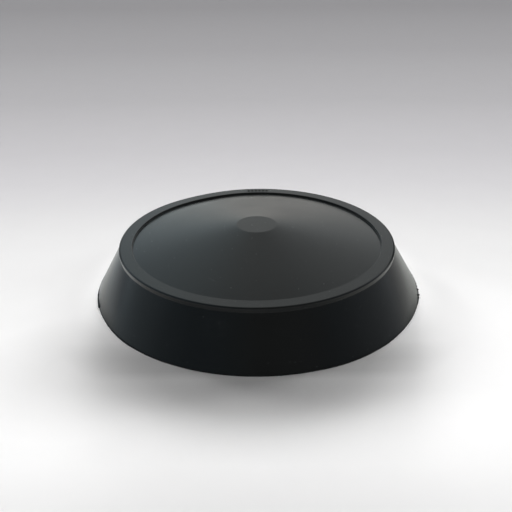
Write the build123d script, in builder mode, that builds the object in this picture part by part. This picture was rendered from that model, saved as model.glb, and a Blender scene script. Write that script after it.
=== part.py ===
from build123d import *
import math
import os

# Rubber end cap for a round tube, moulded in one piece. Sizes are in millimetres.
# It stands on the open end of its flared skirt: z = 0 is the skirt's lower edge,
# and +Z runs up the tube's axis towards the closed end.

# Driving dimensions: the tube
tube_diameter = 110.0        # outside of the tube that the cap closes
grip = 0.2                   # the socket is this much under the tube's radius
socket_depth = 7.0           # length of the straight wall that grips the tube
stop_width = 5.0             # flat ring inside the cap, which the tube's end meets
lead_in_height = 4.0         # height of the cone that guides the tube in

# Driving dimensions: the closed end
rim_overhang = 3.0           # rim's edge beyond the tube's radius
rim_width = 5.4              # flat ring on top, out to the rim's edge
band_height = 2.0            # upright band under the rim's edge
recess_depth = 0.9           # from the rim down to the foot of the crown
recess_draft = 0.1           # how far the recess narrows on the radius
crown_height = 6.4           # centre disc above the rim
disc_diameter = 16.8         # flat disc at the crown's middle
top_wall = 3.0               # thickness between the crown's foot and the stop

# Driving dimensions: the skirt
skirt_height = 19.4          # from the lower edge up to the band
skirt_flare = 11.5           # how far the lower edge stands out beyond the band
skirt_wall = 3.0             # thickness of the skirt, square to its face

# Driving dimensions: edges
rim_edge_radius = 0.7        # round on the rim's outer edge
recess_edge_break = 0.2      # small bevel on the rim's inner edge
lip_edge_radius = 0.8        # round inside the skirt's lower edge
socket_edge_break = 0.6      # bevel between the lead-in and the socket

# Radii
tube_radius = tube_diameter / 2
socket_radius = tube_radius - grip
rim_radius = tube_radius + rim_overhang
recess_radius = rim_radius - rim_width
foot_radius = recess_radius - recess_draft
disc_radius = disc_diameter / 2
stop_inner_radius = socket_radius - stop_width
skirt_radius = rim_radius + skirt_flare

# Heights
rim_height = skirt_height + band_height
foot_height = rim_height - recess_depth
disc_height = rim_height + crown_height
stop_height = foot_height - top_wall
socket_end = stop_height - socket_depth
lead_in_end = socket_end - lead_in_height

# The crown's underside is parallel to its upper face.
crown_slope = (disc_height - foot_height) / (foot_radius - disc_radius)
vault_height = stop_height + crown_slope * (stop_inner_radius - disc_radius)

# The skirt's inner face is parallel to its outer face.
flare_slope = skirt_flare / skirt_height
lip_radius = skirt_radius - skirt_wall * math.hypot(1, flare_slope)
lead_in_radius = lip_radius - flare_slope * lead_in_end


def corner_at(sketch, radius, height):
    """The corner of a sketch that lies at this radius and height."""
    return min(
        sketch.vertices(),
        key=lambda corner: math.hypot(corner.X - radius, corner.Y - height),
    )


with BuildPart() as end_cap:
    # Half of the cap's section, with the tube's axis on its left
    with BuildSketch(Plane.XZ) as section:
        with BuildLine():
            Polyline(
                # outside: skirt, band, rim, recess, crown and centre disc
                (lip_radius, 0),
                (skirt_radius, 0),
                (rim_radius, skirt_height),
                (rim_radius, rim_height),
                (recess_radius, rim_height),
                (foot_radius, foot_height),
                (disc_radius, disc_height),
                (0, disc_height),
                # inside: vault under the crown, stop, socket, lead-in and skirt
                (0, vault_height),
                (disc_radius, vault_height),
                (stop_inner_radius, stop_height),
                (socket_radius, stop_height),
                (socket_radius, socket_end),
                (lead_in_radius, lead_in_end),
                close=True,
            )
        make_face()
        # The skirt's lower edge stays sharp outside, where the mould parts.
        fillet(corner_at(section, rim_radius, rim_height), rim_edge_radius)
        fillet(corner_at(section, lip_radius, 0), lip_edge_radius)
        chamfer(corner_at(section, recess_radius, rim_height), recess_edge_break)
        chamfer(corner_at(section, socket_radius, socket_end), socket_edge_break)
    revolve(axis=Axis.Z)

end_cap.part.label = "end_cap"

os.makedirs("parts", exist_ok=True)
export_step(end_cap.part, "parts/end_cap.step")
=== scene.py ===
import math
import random

import bmesh
import bpy
from mathutils import Matrix, Vector


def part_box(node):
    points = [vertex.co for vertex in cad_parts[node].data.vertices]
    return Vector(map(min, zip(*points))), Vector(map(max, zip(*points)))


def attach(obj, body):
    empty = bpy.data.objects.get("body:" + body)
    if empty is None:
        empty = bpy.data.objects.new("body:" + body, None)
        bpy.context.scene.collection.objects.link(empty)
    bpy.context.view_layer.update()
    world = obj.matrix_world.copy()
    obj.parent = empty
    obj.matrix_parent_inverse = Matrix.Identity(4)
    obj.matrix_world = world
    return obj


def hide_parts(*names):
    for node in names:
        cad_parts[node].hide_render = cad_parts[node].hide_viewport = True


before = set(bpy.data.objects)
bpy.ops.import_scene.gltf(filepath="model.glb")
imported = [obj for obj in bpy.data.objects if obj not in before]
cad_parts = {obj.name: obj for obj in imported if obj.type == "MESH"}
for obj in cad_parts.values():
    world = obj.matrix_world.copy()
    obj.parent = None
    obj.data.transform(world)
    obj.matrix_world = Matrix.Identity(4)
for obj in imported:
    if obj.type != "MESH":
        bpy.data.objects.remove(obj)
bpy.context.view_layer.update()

# Moulded rubber cap for a tube's end, standing on the open end of its skirt. Metres, +Z up.
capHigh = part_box("end_cap")[1]
mm = 0.001

# Section of the moulding, as radii and heights in millimetres. The first two come from the cap's box in
# model.glb
section = {
    "skirtRadius": capHigh.x / mm - 0.4,     # the box also holds the flash
    "discHeight": capHigh.z / mm,
    "rimRadius": 58.0,
    "rimHeight": 21.4,
    "bandHeight": 2.0,
    "recessRadius": 52.6,
    "recessDraft": 0.1,
    "recessDepth": 0.9,
    "discRadius": 8.4,
    "topWall": 3.0,
    "stopWidth": 5.0,
    "socketRadius": 54.8,
    "socketDepth": 7.0,
    "leadInHeight": 4.0,
    "skirtWall": 3.0,
    "lean": 0.32,           # the soft skirt has set this far to the right at its foot
}

# Rounds on its edges, in millimetres
rounds = {
    "rim": 0.66,
    "bandFoot": 0.25,
    "recessEdge": 0.16,
    "recessFoot": 0.2,
    "disc": 0.35,
    "inside": 0.8,
    "stopCorner": 0.3,
    "socketEdge": 0.6,
    "landHeight": 0.42,     # upright strip at the foot, with its own rounds below and above
    "landFoot": 0.08,
    "landTop": 0.06,
    "turns": 600,
}

# The soft rim hangs a little at the rear left. Angles in degrees from +X, the rest in millimetres
sag = {
    "middle": 121.0,
    "halfWidth": 20.0,
    "depth": 0.41,
    "fromRadius": 44.0,
    "toRadius": 52.4,
    "innerLift": 0.15,      # share of it that the rim's inner edge doesn't take
    "fromHeight": 6.0,
    "toHeight": 18.0,
}


def skirtFace(height):
    # radius of the skirt's outer face at a height
    s = section
    bandFoot = s["rimHeight"] - s["bandHeight"]
    return s["skirtRadius"] - (s["skirtRadius"] - s["rimRadius"]) * height / bandFoot


def leanAt(height):
    # sideways shift of the skirt at a height
    bandFoot = section["rimHeight"] - section["bandHeight"]
    return section["lean"] * min(max(1 - height / bandFoot, 0), 1)


def wrapped(angle, about):
    # difference of two angles in degrees, from -180 to 180
    return (angle - about + 180) % 360 - 180


def smoothShare(value, low, high):
    # 0 up to low, 1 from high on, and a smooth rise between them
    t = min(max((value - low) / (high - low), 0), 1)
    return t * t * (3 - 2 * t)


def sagAt(row, angle, point):
    # a point of the section where it hangs
    v, s = sag, section
    away = wrapped(math.degrees(angle), v["middle"]) / v["halfWidth"]
    share = smoothShare(point.x, v["fromRadius"], v["toRadius"])
    share *= smoothShare(point.y, v["fromHeight"], v["toHeight"])
    lift = v["innerLift"] * smoothShare(point.x, s["recessRadius"] - s["recessDraft"], s["recessRadius"])
    lift *= 1 - smoothShare(point.x, s["recessRadius"], s["rimRadius"])
    share *= 1 - lift
    return point.x, point.y - v["depth"] * share * math.exp(-away * away)


def roundedLine(corners):
    # points along an open line, with an arc of its own radius at each inner corner
    points = [Vector(corners[0][:2])]
    for before, corner, after in zip(corners, corners[1:], corners[2:]):
        here = Vector(corner[:2])
        toBefore = (Vector(before[:2]) - here).normalized()
        toAfter = (Vector(after[:2]) - here).normalized()
        radius, steps = corner[2:]
        half = toBefore.angle(toAfter) / 2
        reach = radius / math.tan(half)
        centre = here + (toBefore + toAfter).normalized() * radius / math.sin(half)
        start = here + toBefore * reach - centre
        end = here + toAfter * reach - centre
        sweep = start.angle(end)
        for i in range(steps + 1):
            t = i / steps
            a = math.sin((1 - t) * sweep) / math.sin(sweep)
            b = math.sin(t * sweep) / math.sin(sweep)
            points.append(centre + start * a + end * b)
    points.append(Vector(corners[-1][:2]))
    return points


def withSupportRows(points, margin=0.06, longest=4.0):
    # rows close to each end of a long straight run keep its shading flat
    out = [points[0]]
    for a, b in zip(points, points[1:]):
        length = (b - a).length
        if length > 4 * margin:
            inner = [a.lerp(b, margin / length)]
            rows = int((length - 2 * margin) / longest)
            inner += [a.lerp(b, (i + 1) / (rows + 1)) for i in range(rows)]
            inner.append(a.lerp(b, 1 - margin / length))
            out += inner
        out.append(b)
    return out


def turnedMesh(name, line, turns, shift, sharpFrom=38.0):
    # turns a section about Z; a point on the axis becomes one vertex. Shift gives each point its
    # own radius and height at an angle, and edges of more than sharpFrom degrees are shaded sharp
    bm = bmesh.new()
    rings = []
    for row, point in enumerate(line):
        if point.x < 1e-6:
            rings.append([bm.verts.new((0, 0, point.y * mm))])
            continue
        ring = []
        for i in range(turns):
            angle = 2 * math.pi * i / turns
            radius, height = shift(row, angle, point)
            across = radius * math.cos(angle) + leanAt(height)
            ring.append(bm.verts.new((across * mm, radius * math.sin(angle) * mm, height * mm)))
        rings.append(ring)
    for a, b in zip(rings, rings[1:] + rings[:1]):
        for i in range(turns):
            j = (i + 1) % turns
            if len(a) == 1 and len(b) == 1:
                break
            if len(a) == 1:
                bm.faces.new((a[0], b[j], b[i]))
            elif len(b) == 1:
                bm.faces.new((a[i], a[j], b[0]))
            else:
                bm.faces.new((a[i], a[j], b[j], b[i]))
    bmesh.ops.recalc_face_normals(bm, faces=bm.faces)
    mesh = bpy.data.meshes.new(name)
    bm.to_mesh(mesh)
    bm.free()
    mesh.shade_smooth()
    mesh.set_sharp_from_angle(angle=math.radians(sharpFrom))
    piece = bpy.data.objects.new(name, mesh)
    bpy.context.scene.collection.objects.link(piece)
    return piece


def capCorners():
    # from the vault's middle out to the lip, up the skirt and back over the crown: radius and height
    # of each corner, its round, and the steps of its arc. The two ends lie on the axis
    s, r = section, rounds
    bandFoot = s["rimHeight"] - s["bandHeight"]
    flare = (s["skirtRadius"] - s["rimRadius"]) / bandFoot
    lip = s["skirtRadius"] - s["skirtWall"] * math.hypot(1, flare)
    footRadius = s["recessRadius"] - s["recessDraft"]
    footHeight = s["rimHeight"] - s["recessDepth"]
    stopInner = s["socketRadius"] - s["stopWidth"]
    stopHeight = footHeight - s["topWall"]
    crownSlope = (s["discHeight"] - footHeight) / (footRadius - s["discRadius"])
    vaultHeight = stopHeight + crownSlope * (stopInner - s["discRadius"])
    socketEnd = stopHeight - s["socketDepth"]
    leadInEnd = socketEnd - s["leadInHeight"]
    landRadius = skirtFace(r["landHeight"])
    return [
        (0, vaultHeight, 0, 0),
        (s["discRadius"], vaultHeight, r["inside"], 4),
        (stopInner, stopHeight, r["inside"], 4),
        (s["socketRadius"], stopHeight, r["stopCorner"], 4),
        (s["socketRadius"], socketEnd, r["socketEdge"], 6),
        (lip - flare * leadInEnd, leadInEnd, r["inside"], 5),
        (lip, 0, r["inside"], 6),
        (landRadius, 0, r["landFoot"], 3),
        (landRadius, r["landHeight"], r["landTop"], 3),
        (s["rimRadius"], bandFoot, r["bandFoot"], 5),
        (s["rimRadius"], s["rimHeight"], r["rim"], 9),
        (s["recessRadius"], s["rimHeight"], r["recessEdge"], 6),
        (footRadius, footHeight, r["recessFoot"], 6),
        (s["discRadius"], s["discHeight"], r["disc"], 4),
        (0, s["discHeight"], 0, 0),
    ]


def makeCap():
    line = withSupportRows(roundedLine(capCorners()))
    cap = turnedMesh("moulded_cap", line, rounds["turns"], sagAt)
    print("cap section rows:", len(line))
    return cap


# Trimmed parting edge round the skirt's foot. Angles in degrees from +X, sizes in millimetres
trim = {
    "turns": 1800,
    "seed": 7,
    "inside": 0.07,         # mean radius of the cut, this far inside the skirt's own
    "height": 0.36,         # band of cut rubber above the floor
    "under": 1.5,           # reach in below the skirt
    "lowerEdge": (0.06, 0.09),      # break of its lower edge, inwards and upwards
    "uprightTo": 0.55,      # shares of its height where it stands upright and where it leans back
    "leansFrom": 0.85,
    "leanBack": 0.02,
    "proud": 0.05,          # stands off the skirt's face by this much
    "buried": 0.6,          # its upper end lies this deep in the skirt
    # uneven cut: waves with their turns round the foot, and what they do to its radius and height
    "waveCount": 9,
    "waveTurns": (9, 60),
    "waveOut": 0.012,
    "waveUp": 0.02,
    # where the soft foot bulges or draws in: angle, size, half width
    "swells": ((-158.0, -0.20, 5.0), (-138.0, 0.36, 9.0), (-128.5, 0.15, 3.0), (-124.0, 0.14, 5.0),
               (-117.0, 0.11, 2.0), (-97.0, -0.08, 12.0), (-72.0, 0.06, 5.0), (-56.0, 0.42, 13.0),
               (-42.0, 0.08, 5.0), (-28.5, -0.34, 2.8), (-17.0, 0.08, 3.0), (-12.5, 0.24, 5.0),
               (-3.0, -0.12, 4.0), (3.0, -0.24, 5.0)),
    "knifeCuts": (-39.6, -34.7, -31.3, -22.5, -15.0, 9.0),
    "knifeDepth": 0.5,
    "moreCuts": 26,         # drawn at random between two angles
    "moreCutsFrom": (12, 318),
    "longestCut": 9,
    # beads of torn rubber: angle and size
    "beads": ((6.0, 0.16), (3.5, 0.32), (0.9, 0.26), (-1.2, 0.28), (-2.9, 0.33), (-4.8, 0.30), (-7.1, 0.34),
              (-8.8, 0.14), (-10.8, 0.40), (-13.0, 0.24), (-16.6, 0.12), (-19.3, 0.10), (-24.6, 0.14)),
    "beadWidth": 0.42,
    "beadHeight": 1.1,      # height of a bead for each millimetre that it stands out
    "smallBeads": 70,       # drawn at random, with a size between two
    "smallBeadSize": (0.03, 0.12),
    # tongue of flash on the left, which ends in a torn corner
    "tongueFrom": 182.5,
    "tongueTo": 197.6,
    "tongueReach": 0.47,
    "tongueHeight": 1.25,
    "tongueCurve": 2.4,     # power by which it stands out towards its corner
    "tongueRise": 2.2,      # it rises fast up to a share of its height, and slowly from there
    "tongueStep": 0.45,
    "tornOver": 1.6,
}


def makeTrimmedEdge():
    t = trim
    draw = random.Random(t["seed"])
    waves = []
    for i in range(t["waveCount"]):
        waves.append((draw.uniform(*t["waveTurns"]), draw.uniform(0, 6.28), draw.uniform(0.2, 1.0)))
    places = [draw.uniform(0, 360) for i in range(t["smallBeads"])]
    beads = list(t["beads"]) + [(place, draw.uniform(*t["smallBeadSize"])) for place in places]
    drawn = set(draw.uniform(*t["moreCutsFrom"]) for i in range(t["moreCuts"]))
    cuts = sorted(set(a % 360 for a in t["knifeCuts"]) | drawn)

    def beadAt(angle):
        out = 0.0
        for about, size in beads:
            away = abs(wrapped(angle, about)) / t["beadWidth"]
            if away < 3:    # further off it adds nothing
                out += size * math.exp(-away * away)
        return out

    def swellAt(angle):
        away = [(size, wrapped(angle, about) / width) for about, size, width in t["swells"]]
        return sum(size * math.exp(-far ** 2) for size, far in away)

    def tongueAt(angle):
        # from 0 where the tongue begins to 1 at its torn corner
        along = (angle - t["tongueFrom"]) / (t["tongueTo"] - t["tongueFrom"])
        torn = (t["tongueTo"] + t["tornOver"] - angle) / t["tornOver"]
        return max(min(along, torn), 0)

    def knifeAt(angle):
        # straight cuts between neighbouring angles lie a little inside the circle
        for a, b in zip(cuts, cuts[1:] + [cuts[0] + 360]):
            turn = angle if angle >= cuts[0] else angle + 360
            if a <= turn < b:
                half = math.radians(min(b - a, t["longestCut"]) / 2)
                mid = math.radians(turn - (a + b) / 2)
                if abs(mid) < half:
                    return section["skirtRadius"] * (1 - math.cos(half) / math.cos(mid))
        return 0.0

    def shift(row, angle, point):
        degrees = math.degrees(angle)
        wave = sum(size * math.sin(n * angle + phase) for n, phase, size in waves)
        bead, tongue = beadAt(degrees), tongueAt(degrees)
        outer = section["skirtRadius"] - t["inside"] + t["waveOut"] * wave + bead
        outer += t["tongueReach"] * tongue ** t["tongueCurve"]
        outer += swellAt(degrees)
        outer -= t["knifeDepth"] * knifeAt(degrees)
        height = t["height"] + t["waveUp"] * wave + t["beadHeight"] * bead
        rise = min(tongue * t["tongueRise"], t["tongueStep"] + tongue * (1 - t["tongueStep"]))
        height += (t["tongueHeight"] - t["height"]) * rise
        upright, leaning = height * t["uprightTo"], height * t["leansFrom"]
        outer = max(outer, skirtFace(upright) + t["proud"])
        rows = (
            (section["skirtRadius"] - t["under"], 0.0),
            (outer - t["lowerEdge"][0], 0.0),
            (outer, t["lowerEdge"][1]),
            (outer - t["leanBack"], upright),
            (skirtFace(leaning) + t["proud"] + 0.5 * bead, leaning),
            (skirtFace(height) - t["proud"], height),
            (skirtFace(height) - t["buried"], height),
        )
        return rows[row]

    # shift places all seven rows, so the line only counts them
    line = [Vector((section["skirtRadius"], 0))] * 7
    return turnedMesh("trimmed_edge", line, t["turns"], shift)


# Plain raised bars in a row on the rear of the rim, in millimetres
bars = {
    "count": 6,
    "pitch": 1.8,
    "width": 0.95,
    "length": 2.0,
    "height": 0.30,
    "inset": 1.4,
    "round": 0.09,
    "middle": 89.3,         # degrees from +X
}


def makeRimBars():
    b, s = bars, section
    bm = bmesh.new()
    middleRadius = s["rimRadius"] - b["inset"] - b["length"] / 2
    for i in range(b["count"]):
        angle = math.radians(b["middle"]) + (i - (b["count"] - 1) / 2) * b["pitch"] / middleRadius
        made = bmesh.ops.create_cube(bm, size=1.0)["verts"]
        bmesh.ops.scale(bm, verts=made, vec=(b["length"] * mm, b["width"] * mm, 2 * b["height"] * mm))
        bmesh.ops.translate(bm, verts=made, vec=(middleRadius * mm, 0, s["rimHeight"] * mm))
        bmesh.ops.rotate(bm, verts=made, cent=(0, 0, 0), matrix=Matrix.Rotation(angle, 3, "Z"))
    mesh = bpy.data.meshes.new("rim_bars")
    bm.to_mesh(mesh)
    bm.free()
    piece = bpy.data.objects.new("rim_bars", mesh)
    bpy.context.scene.collection.objects.link(piece)
    soften = piece.modifiers.new("soften", "BEVEL")
    soften.width = b["round"] * mm
    soften.segments = 3
    mesh.shade_smooth()
    return piece


class Shades:
    # a small helper that adds nodes to one material and links them
    def __init__(self, name):
        self.material = bpy.data.materials.new(name)
        self.material.use_nodes = True
        self.tree = self.material.node_tree
        self.shader = self.tree.nodes["Principled BSDF"]
        self.place = self.add("ShaderNodeTexCoord").outputs["Object"]

    def add(self, kind, **settings):
        node = self.tree.nodes.new(kind)
        for key, value in settings.items():
            setattr(node, key, value)
        return node

    def link(self, a, b):
        self.tree.links.new(a, b)

    def axes(self):
        apart = self.add("ShaderNodeSeparateXYZ")
        self.link(self.place, apart.inputs["Vector"])
        return [apart.outputs[axis] for axis in "XYZ"]

    def noise(self, scale, detail, rough=0.5):
        node = self.add("ShaderNodeTexNoise")
        node.inputs["Scale"].default_value = scale
        node.inputs["Detail"].default_value = detail
        node.inputs["Roughness"].default_value = rough
        self.link(self.place, node.inputs["Vector"])
        return node.outputs["Fac"]

    def spread(self, value, low, high, outLow, outHigh):
        node = self.add("ShaderNodeMapRange")
        names = ("From Min", "From Max", "To Min", "To Max")
        for name, number in zip(names, (low, high, outLow, outHigh)):
            node.inputs[name].default_value = number
        self.link(value, node.inputs["Value"])
        return node.outputs["Result"]

    def between(self, value, low, high, soft):
        # 1 from low to high, falling to 0 over a soft distance at each end
        rise = self.spread(value, low - soft, low, 0, 1)
        return self.times(rise, self.spread(value, high, high + soft, 1, 0))

    def maths(self, operation, a, b=None):
        node = self.add("ShaderNodeMath", operation=operation)
        for socket, value in zip(node.inputs, (a, b)):
            if value is None:
                continue
            if isinstance(value, (int, float)):
                socket.default_value = value
            else:
                self.link(value, socket)
        return node.outputs["Value"]

    def times(self, first, *others):
        for other in others:
            first = self.maths("MULTIPLY", first, other)
        return first

    def hypot(self, a, b):
        return self.maths("SQRT", self.maths("ADD", self.times(a, a), self.times(b, b)))

    def distanceTo(self, place):
        node = self.add("ShaderNodeVectorMath", operation="DISTANCE")
        self.link(self.place, node.inputs[0])
        node.inputs[1].default_value = place
        return node.outputs["Value"]

    def scaled(self, vector, factor):
        node = self.add("ShaderNodeVectorMath", operation="SCALE")
        self.link(vector, node.inputs[0])
        self.link(factor, node.inputs["Scale"])
        return node.outputs["Vector"]

    def ramp(self, value, stops):
        # colours at places from 0 to 1
        node = self.add("ShaderNodeValToRGB")
        marks = node.color_ramp.elements
        while len(marks) < len(stops):
            marks.new(0.5)
        for mark, (place, colour) in zip(marks, stops):
            mark.position = place
            mark.color = (*colour, 1)
        self.link(value, node.inputs["Fac"])
        return node.outputs["Color"]

    def blend(self, factor, a, b):
        node = self.add("ShaderNodeMix", data_type="RGBA")
        self.link(factor, node.inputs["Factor"])
        for name, colour in (("A", a), ("B", b)):
            socket = [x for x in node.inputs if x.name == name and x.type == "RGBA"][0]
            if isinstance(colour, tuple):
                socket.default_value = (*colour, 1)
            else:
                self.link(colour, socket)
        return [x for x in node.outputs if x.type == "RGBA"][0]


# Colours are linear, lengths in metres
rubber = {
    "dark": (0.0036, 0.0042, 0.0041),
    "light": (0.0050, 0.0058, 0.0055),
    "cloudScale": 38.0,
    "roughness": (0.17, 0.23),
    "roughnessScale": 55.0,
    "ior": 1.5,
    "grainScale": 5200.0,
    "grainStrength": 0.35,
    "grainDepth": 0.000004,
    "topHeight": (0.0200, 0.0202),  # the rim, recess and crown are above it
    # dust: one light speck to a cell, in some of the cells, and brighter in a few
    "dust": (0.105, 0.111, 0.108),
    "dustCells": 520.0,
    "dustSize": (0.045, 0.10),
    "dustShare": 0.72,
    "dustRoughness": 0.4,
    # the recess wall is lighter in colour and duller, and the crown's foot at the back is duller
    "wallRadius": (0.05245, 0.05262),
    "wallSoft": 0.00005,
    "wallTop": (0.02132, 0.02138),
    "wallColour": (0.0280, 0.0295, 0.0290),
    "wallRoughness": 0.35,
    "footRadius": (0.0465, 0.0522),
    "footEnd": 0.0525,
    "footBack": (0.005, 0.030),
    "footRoughness": 0.15,
    "skirtTop": 0.0194,
    "skirtFrom": 0.0580,
    "skirtRoughness": 0.02,     # extra towards the lower edge
    # the rim's outer round is rubbed dull, but for its front
    "rimEdgeRadius": (0.05718, 0.05745),
    "rimEdgeHeight": (0.02072, 0.02086),
    "rimEdgeFrom": (-0.034, -0.018),
    "rimEdgeRoughness": 0.64,
    "rimEdgeSide": (-0.050, 0.0),
    "rimEdgeLeft": 0.6,         # its share on the left
    # fine rings that the mould's turning left on the flat parts
    "ringPitch": 0.00021,
    "ringDepth": 0.0000006,
    "ringScale": 90.0,          # of the patches where they are clearer or fainter
    # a rubbed place on the front of the skirt
    "smudgeAt": (-0.0152, -0.0587, 0.0148),
    "smudgeSize": (0.002, 0.0075),
    "smudgeScale": 240.0,
    "smudgeGaps": (0.42, 0.66),
    "smudgeColour": (0.0110, 0.0121, 0.0121),
    "smudgeRoughness": 0.08,
    # short curved scuffs: centre of the arc, its radius, and the angles that it runs between
    "scuffs": ((0.0142, -0.0122, 0.0021, -20.0, 95.0), (0.0262, -0.0141, 0.0022, 35.0, 150.0),
               (-0.0190, -0.0405, 0.0031, 20.0, 75.0), (-0.0305, 0.0120, 0.0060, -70.0, -35.0)),
    "scuffWidth": 0.00018,
    "scuffEnds": 0.3,           # radians over which each end fades
    "scuffColour": (0.022, 0.0235, 0.0235),
}


def dullPlaces(m, radius, onTop):
    # the recess wall, the crown's foot at the back, the lower skirt and the rim's outer round
    v = rubber
    x, y, z = m.axes()
    wall = m.times(m.between(radius, *v["wallRadius"], v["wallSoft"]), onTop)
    wall = m.times(wall, m.spread(z, *v["wallTop"], 1, 0))
    foot = m.times(m.spread(radius, *v["footRadius"], 0, 1), m.maths("LESS_THAN", radius, v["footEnd"]))
    foot = m.times(foot, m.spread(y, *v["footBack"], 0, 1))
    low = m.times(m.spread(z, 0, v["skirtTop"], 1, 0), m.maths("GREATER_THAN", radius, v["skirtFrom"]))
    rimEdge = m.times(m.spread(radius, *v["rimEdgeRadius"], 0, 1), m.spread(z, *v["rimEdgeHeight"], 0, 1))
    rimEdge = m.times(rimEdge, m.spread(y, *v["rimEdgeFrom"], 0, 1))
    rimEdge = m.times(rimEdge, m.spread(x, *v["rimEdgeSide"], v["rimEdgeLeft"], 1))
    return wall, foot, low, rimEdge


def smudgeMask(m):
    v = rubber
    patches = m.spread(m.noise(v["smudgeScale"], 3.0, 0.6), *v["smudgeGaps"], 0, 1)
    return m.times(m.spread(m.distanceTo(v["smudgeAt"]), *v["smudgeSize"], 1, 0), patches)


def scuffMask(m, scuff, onTop):
    v = rubber
    centreX, centreY, arc, start, stop = scuff
    x, y = m.axes()[:2]
    alongX = m.maths("SUBTRACT", x, centreX)
    alongY = m.maths("SUBTRACT", y, centreY)
    half = v["scuffWidth"] / 2
    line = m.between(m.hypot(alongX, alongY), arc - half, arc + half, half)
    turn = m.maths("ARCTAN2", alongY, alongX)
    part = m.between(turn, math.radians(start), math.radians(stop), v["scuffEnds"])
    return m.times(line, part, onTop)


def dustMask(m):
    v = rubber
    dots = m.add("ShaderNodeTexVoronoi", feature="F1")
    dots.inputs["Scale"].default_value = v["dustCells"]
    m.link(m.place, dots.inputs["Vector"])
    near = m.spread(dots.outputs["Distance"], *v["dustSize"], 1, 0)
    some = m.add("ShaderNodeSeparateColor")
    m.link(dots.outputs["Color"], some.inputs["Color"])
    return m.times(near, m.spread(some.outputs["Red"], v["dustShare"], 1, 0, 1))


def rubberBumps(m, radius, onTop):
    # a fine grain all over, and turning rings on top of the cap
    v = rubber
    grain = m.add("ShaderNodeBump")
    grain.inputs["Strength"].default_value = v["grainStrength"]
    grain.inputs["Distance"].default_value = v["grainDepth"]
    m.link(m.noise(v["grainScale"], 2.0), grain.inputs["Height"])
    wave = m.maths("SINE", m.times(radius, 2 * math.pi / v["ringPitch"]))
    rings = m.add("ShaderNodeBump")
    rings.inputs["Strength"].default_value = 1.0
    rings.inputs["Distance"].default_value = v["ringDepth"]
    m.link(m.times(wave, m.times(onTop, m.noise(v["ringScale"], 2.0))), rings.inputs["Height"])
    m.link(grain.outputs["Normal"], rings.inputs["Normal"])
    m.link(rings.outputs["Normal"], m.shader.inputs["Normal"])


def makeRubber():
    m, v = Shades("moulded_rubber"), rubber
    x, y, z = m.axes()
    radius = m.hypot(x, y)
    onTop = m.spread(z, *v["topHeight"], 0, 1)
    wall, foot, low, rimEdge = dullPlaces(m, radius, onTop)
    smudge, dust = smudgeMask(m), dustMask(m)

    cloud = m.spread(m.noise(v["cloudScale"], 4.0, 0.55), 0.35, 0.65, 0, 1)
    colour = m.blend(cloud, v["dark"], v["light"])
    colour = m.blend(wall, colour, v["wallColour"])
    colour = m.blend(smudge, colour, v["smudgeColour"])
    for scuff in v["scuffs"]:
        colour = m.blend(scuffMask(m, scuff, onTop), colour, v["scuffColour"])
    m.link(m.blend(dust, colour, v["dust"]), m.shader.inputs["Base Color"])

    rough = m.spread(m.noise(v["roughnessScale"], 3.0, 0.6), 0.3, 0.7, *v["roughness"])
    masks = {"wall": wall, "foot": foot, "skirt": low, "rimEdge": rimEdge, "dust": dust, "smudge": smudge}
    for name, mask in masks.items():
        rough = m.maths("ADD", rough, m.times(mask, v[name + "Roughness"]))
    m.link(rough, m.shader.inputs["Roughness"])

    rubberBumps(m, radius, onTop)
    m.shader.inputs["IOR"].default_value = v["ior"]
    return m.material


cutRubber = {
    "dark": (0.0035, 0.0036, 0.0038),
    "light": (0.0090, 0.0092, 0.0094),
    "roughness": (0.60, 0.80),
    "specular": 0.42,
    "tornScale": 900.0,
    "tornStrength": 0.6,
    "tornDepth": 0.00006,
}


def makeCutRubber():
    m, v = Shades("cut_rubber"), cutRubber
    torn = m.noise(v["tornScale"], 4.0, 0.6)
    m.link(m.blend(torn, v["dark"], v["light"]), m.shader.inputs["Base Color"])
    m.link(m.spread(torn, 0.3, 0.7, *v["roughness"]), m.shader.inputs["Roughness"])
    bump = m.add("ShaderNodeBump")
    bump.inputs["Strength"].default_value = v["tornStrength"]
    bump.inputs["Distance"].default_value = v["tornDepth"]
    m.link(torn, bump.inputs["Height"])
    m.link(bump.outputs["Normal"], m.shader.inputs["Normal"])
    m.shader.inputs["Specular IOR Level"].default_value = v["specular"]
    return m.material
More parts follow.
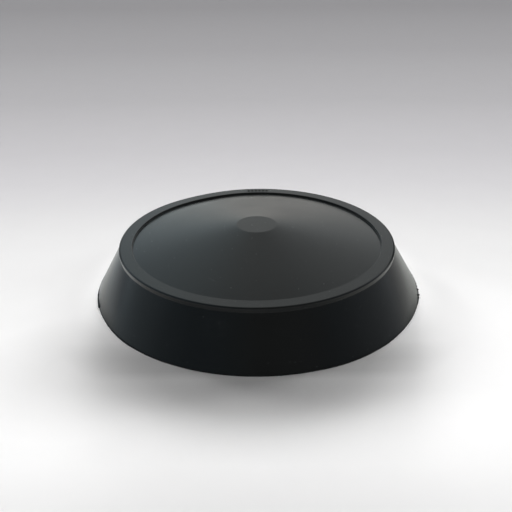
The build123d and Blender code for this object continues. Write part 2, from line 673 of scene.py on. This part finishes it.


# Stage: a pale floor with a painted pool of light, brightest under the cap and greyer away from it. Distances
# in metres
stage = {
    "floorRadius": 4.0,
    "floorLevel": -0.00002,
    "poolY": -0.055,        # middle of the bright pool
    "poolStretch": 3.0,     # how much wider than deep it is
    # brightness of the painted pool of light at each distance from its middle
    "shades": ((0.0, 0.93), (0.035, 0.93), (0.05, 0.895), (0.063, 0.85), (0.072, 0.82), (0.11, 0.765),
               (0.15, 0.675), (0.182, 0.615), (0.24, 0.54), (0.377, 0.43), (0.61, 0.343), (1.0, 0.27)),
    # painted light a little brighter in front of the cap, a painted shadow on its left, and a faint painted
    # glow round its foot, where the floor gives off light
    "paintedLiftTo": 0.12,
    "paintedLiftBand": (-0.112, -0.093, 0.016),
    "lift": 0.10,
    "paintedShadowAt": (-0.066, -0.064, 0.0),
    "paintedShadowSize": (0.010, 0.038),
    "dark": 0.12,
    "glowFrom": (0.0690, 0.0810),
    "glowSide": (-0.052, -0.037, 0.36),
    "glow": 0.17,
    "speckleScale": 60.0,
    "speckle": 0.005,
    "roughness": 0.9,
    "specular": 0.1,
    # a painted contact shadow, darker close to the foot at the front left and right
    "contactFrom": (0.0690, 0.0920),
    "contactSide": (-0.0705, -0.0655),
    "contactEnd": (-0.058, -0.047),
    "contact": 0.25,
    "nearTint": (1.003, 0.999, 0.998),
    "farTint": (1.004, 0.987, 1.017),
    "tintFrom": (0.10, 0.20),
    # share of its brightness that the rubber mirrors, in front of the cap and by the place across
    "mirroredFront": (-0.030, -0.010, 0.70),
    "mirroredTo": 0.3,
    "mirrored": ((-0.30, (0.52, 0.60, 0.66)), (-0.16, (0.65, 0.69, 0.70)), (-0.11, (0.76, 0.83, 0.86)),
                 (-0.075, (0.92, 0.94, 0.92)), (-0.055, (0.73, 0.77, 0.79)), (0.0, (0.74, 0.77, 0.77)),
                 (0.055, (0.63, 0.65, 0.64)), (0.072, (0.76, 0.78, 0.75)), (0.085, (0.86, 0.88, 0.85)),
                 (0.095, (0.86, 0.88, 0.85)), (0.11, (0.63, 0.64, 0.62)), (0.30, (0.60, 0.61, 0.60))),
}


def floorToneAndPaintedLight(m, x, y):
    # the floor's colour: a painted pool of light tinted by distance, painted light in front of the cap, a
    # painted shadow on its left, and a faint speckle
    v = stage
    near, far = v["tintFrom"]
    stops = []
    for place, shade in v["shades"]:
        tint = Vector(v["nearTint"]).lerp(Vector(v["farTint"]), min(max((place - near) / (far - near), 0), 1))
        stops.append((place, tuple(shade * part for part in tint)))
    across = m.maths("DIVIDE", x, v["poolStretch"])
    along = m.maths("SUBTRACT", y, v["poolY"])
    tone = m.ramp(m.hypot(across, along), stops)
    # painted light in front of the cap, and a painted shadow on its left
    middle = m.spread(m.maths("ABSOLUTE", x), 0, v["paintedLiftTo"], 1, 0)
    lift = m.spread(m.times(middle, m.between(y, *v["paintedLiftBand"])), 0, 1, 1, 1 + v["lift"])
    lift = m.times(lift, m.spread(m.distanceTo(v["paintedShadowAt"]), *v["paintedShadowSize"], 1 - v["dark"], 1))
    speckle = m.spread(m.noise(v["speckleScale"], 2.0), 0.3, 0.7, 1 - v["speckle"], 1 + v["speckle"])
    return m.scaled(tone, m.times(speckle, lift))


def mirroredShare(m, x, y):
    v = stage
    end = v["mirroredTo"]
    stops = [((place / end + 1) / 2, colour) for place, colour in v["mirrored"]]
    side = m.ramp(m.spread(x, -end, end, 0, 1), stops)
    near, far, share = v["mirroredFront"]
    return m.scaled(side, m.spread(y, near, far, share, 1))


def contactShadowShare(m, y, reach):
    # painted contact shadow close to the cap's foot
    v = stage
    near = m.spread(reach, *v["contactFrom"], 1, 0)
    sides = m.times(near, m.spread(y, *v["contactSide"], 0, 1), m.spread(y, *v["contactEnd"], 1, 0))
    return m.spread(sides, 0, 1, 1, 1 - v["contact"])


def makeFloorPaint():
    m, v = Shades("floor_paint"), stage
    x, y = m.axes()[:2]
    reach = m.hypot(x, y)
    # the rubber mirrors a duller floor than the camera sees; the floor it doesn't mirror carries the painted
    # contact shadow
    path = m.add("ShaderNodeLightPath")
    share = m.blend(path.outputs["Is Glossy Ray"], contactShadowShare(m, y, reach), mirroredShare(m, x, y))
    paint = m.add("ShaderNodeVectorMath", operation="MULTIPLY")
    m.link(floorToneAndPaintedLight(m, x, y), paint.inputs[0])
    m.link(share, paint.inputs[1])
    # painted light: the floor glows round the cap's foot, less in front, though it is no lamp
    near = m.spread(reach, *v["glowFrom"], 1, 0)
    front, back, least = v["glowSide"]
    glow = m.times(near, near, m.spread(y, front, back, least, 1), v["glow"])
    m.link(paint.outputs["Vector"], m.shader.inputs["Base Color"])
    m.link(paint.outputs["Vector"], m.shader.inputs["Emission Color"])
    m.link(glow, m.shader.inputs["Emission Strength"])
    m.shader.inputs["Roughness"].default_value = v["roughness"]
    m.shader.inputs["Specular IOR Level"].default_value = v["specular"]
    return m.material


def makeFloor():
    v = stage
    mesh = bpy.data.meshes.new("pale_floor")
    bm = bmesh.new()
    bmesh.ops.create_circle(bm, cap_ends=True, segments=96, radius=v["floorRadius"])
    bm.to_mesh(mesh)
    bm.free()
    mesh.materials.append(makeFloorPaint())
    floor = bpy.data.objects.new("pale_floor", mesh)
    floor.location.z = v["floorLevel"]
    bpy.context.scene.collection.objects.link(floor)


# What the rubber mirrors: pale walls behind and beside it, a dim ceiling and a dark front.
# Each row is a place from -1 to 1 along an axis, and a grey or a colour
studio = {
    "byDepth": ((-1.0, 0.15), (-0.65, 0.15), (-0.43, 0.19), (-0.13, 0.29), (0.17, 0.34), (0.45, 0.40),
                (0.7, 0.56), (0.85, 0.60), (0.9, 0.66), (1.0, 0.72)),
    "byHeight": ((-1.0, 1.0), (0.40, 1.0), (0.46, 0.96), (0.51, 0.92), (0.58, 0.94), (0.65, 0.98),
                 (0.72, 0.90), (0.78, 0.84), (0.86, 0.70), (1.0, 0.60)),
    "bySide": ((-1.0, (0.92, 1.14, 1.28)), (-0.5, (0.96, 1.16, 1.29)), (-0.22, (0.95, 1.09, 1.13)),
               (-0.12, (0.97, 1.06, 1.07)), (-0.05, (0.97, 1.00, 0.98)), (0.03, (0.92, 0.94, 0.92)),
               (0.10, (0.90, 0.92, 0.91)), (0.18, (0.95, 0.98, 0.97)), (0.30, (1.00, 1.03, 1.02)),
               (0.5, (1.00, 1.02, 1.04)), (0.8, (0.86, 0.96, 1.04)), (1.0, (0.80, 0.89, 0.97))),
    "warmth": ((-1.0, (1.0, 1.0, 1.0)), (0.0, (1.03, 1.0, 0.98)), (0.15, (1.03, 1.0, 0.98)),
               (0.35, (0.98, 1.0, 1.02))),
    "seen": (0.62, 0.63, 0.64),     # grey that the camera sees beyond the floor
    # brighter low down at the sides, most of all on the left
    "extraSide": ((-1.0, 0.45), (-0.90, 0.45), (-0.70, 0.0), (0.70, 0.0), (0.90, 0.3), (1.0, 0.3)),
    "extraHeight": ((0.03, 1.0), (0.10, 0.0)),
}


def makeStudio():
    v = studio
    world = bpy.data.worlds.new("studio")
    bpy.context.scene.world = world
    world.use_nodes = True
    tree = world.node_tree
    nodes, links = tree.nodes, tree.links
    nodes.clear()
    place = nodes.new("ShaderNodeTexCoord")
    apart = nodes.new("ShaderNodeSeparateXYZ")
    links.new(place.outputs["Generated"], apart.inputs["Vector"])

    def ramp(axis, stops):
        # colours along one axis of the direction, from -1 to 1
        along = nodes.new("ShaderNodeMapRange")
        along.inputs["From Min"].default_value = -1
        links.new(apart.outputs[axis], along.inputs["Value"])
        node = nodes.new("ShaderNodeValToRGB")
        node.color_ramp.interpolation = "EASE"
        marks = node.color_ramp.elements
        while len(marks) < len(stops):
            marks.new(0.5)
        for mark, (at, shade) in zip(marks, stops):
            mark.position = (at + 1) / 2
            mark.color = (*shade, 1) if isinstance(shade, tuple) else (shade, shade, shade, 1)
        links.new(along.outputs["Result"], node.inputs["Fac"])
        return node.outputs["Color"]

    def multiply(a, b):
        node = nodes.new("ShaderNodeVectorMath")
        node.operation = "MULTIPLY"
        links.new(a, node.inputs[0])
        links.new(b, node.inputs[1])
        return node.outputs["Vector"]

    mirrored = multiply(ramp("Y", v["byDepth"]), ramp("Z", v["byHeight"]))
    mirrored = multiply(multiply(mirrored, ramp("X", v["bySide"])), ramp("Z", v["warmth"]))
    extra = nodes.new("ShaderNodeVectorMath")
    extra.operation = "ADD"
    extra.inputs[0].default_value = (1, 1, 1)
    links.new(multiply(ramp("X", v["extraSide"]), ramp("Z", v["extraHeight"])), extra.inputs[1])
    mirrored = multiply(mirrored, extra.outputs["Vector"])
    # the lights alone light the floor
    path = nodes.new("ShaderNodeLightPath")
    unlit = nodes.new("ShaderNodeMath")
    unlit.operation = "SUBTRACT"
    unlit.inputs[0].default_value = 1
    links.new(path.outputs["Is Diffuse Ray"], unlit.inputs[1])
    around = nodes.new("ShaderNodeBackground")
    links.new(mirrored, around.inputs["Color"])
    links.new(unlit.outputs["Value"], around.inputs["Strength"])
    seen = nodes.new("ShaderNodeBackground")
    seen.inputs["Color"].default_value = (*v["seen"], 1)
    choose = nodes.new("ShaderNodeMixShader")
    links.new(path.outputs["Is Camera Ray"], choose.inputs["Fac"])
    links.new(around.outputs["Background"], choose.inputs[1])
    links.new(seen.outputs["Background"], choose.inputs[2])
    out = nodes.new("ShaderNodeOutputWorld")
    links.new(choose.outputs["Shader"], out.inputs["Surface"])


# Large soft lights far behind the cap throw its shadow forward, and a dim one in front fills it.
# Azimuth from straight behind towards the right, elevation, and the light's share of the floor's
# brightness; angles in degrees
lights = {
    "softness": 15.3,
    "floorBrightness": 1.09,
    "shares": ((0.0, 11.0, 0.107), (60.0, 14.0, 0.062), (0.0, 21.0, 0.081), (15.0, 21.0, 0.026),
               (-45.0, 25.0, 0.113), (-30.0, 25.0, 0.037), (-15.0, 25.0, 0.105), (0.0, 25.0, 0.059),
               (15.0, 25.0, 0.096), (30.0, 25.0, 0.058), (45.0, 25.0, 0.071), (0.0, 29.0, 0.065),
               (180.0, 52.0, 0.130)),
}


def makeLights():
    v = lights
    for azimuth, elevation, share in v["shares"]:
        side, up = math.radians(azimuth), math.radians(elevation)
        way = Vector((math.sin(side) * math.cos(up), math.cos(side) * math.cos(up), math.sin(up)))
        light = bpy.data.lights.new("back_light", "SUN")
        light.energy = share * v["floorBrightness"] * math.pi / math.sin(up)
        light.angle = math.radians(v["softness"])
        holder = bpy.data.objects.new("back_light", light)
        holder.location = way * 3
        holder.rotation_euler = way.to_track_quat("Z", "Y").to_euler()
        holder.visible_glossy = False
        holder.visible_camera = False
        bpy.context.scene.collection.objects.link(holder)


# The camera stands in front of the cap and looks down on its rim. Angles in degrees
view = {
    "elevation": 25.294,
    "distance": 5.067 * 0.058,      # in rim radii, and the radius in metres
    "swing": 0.0773,
    "drop": 1.517,
    "roll": 0.516,
    "focusPixels": 689.0,           # focal length, for a frame of this width
    "framePixels": 512.0,
}


def makeCamera():
    v = view
    lens = bpy.data.cameras.new("front_camera")
    lens.sensor_width = 36.0
    lens.lens = v["focusPixels"] / v["framePixels"] * lens.sensor_width
    lens.clip_start = 0.01
    camera = bpy.data.objects.new("front_camera", lens)
    up = math.radians(v["elevation"])
    away = v["distance"]
    camera.location = (0, -away * math.cos(up), away * math.sin(up) + section["rimHeight"] * mm)
    turn = Matrix.Rotation(math.pi / 2 - up, 4, "X")
    turn = turn @ Matrix.Rotation(math.radians(v["swing"]), 4, "Y")
    turn = turn @ Matrix.Rotation(math.radians(-v["drop"]), 4, "X")
    turn = turn @ Matrix.Rotation(math.radians(-v["roll"]), 4, "Z")
    camera.rotation_euler = turn.to_euler()
    bpy.context.scene.collection.objects.link(camera)
    bpy.context.scene.camera = camera


print("camera and studio")
makeCamera()
makeStudio()
makeLights()
makeFloor()

print("cap")
mouldedRubber = makeRubber()
cap = makeCap()
cap.data.materials.append(mouldedRubber)
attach(cap, "root")
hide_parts("end_cap")

print("trimmed edge")
edge = makeTrimmedEdge()
edge.data.materials.append(makeCutRubber())
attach(edge, "root")

print("rim bars")
rimBars = makeRimBars()
rimBars.data.materials.append(mouldedRubber)
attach(rimBars, "root")

bpy.context.scene.view_settings.view_transform = "Standard"
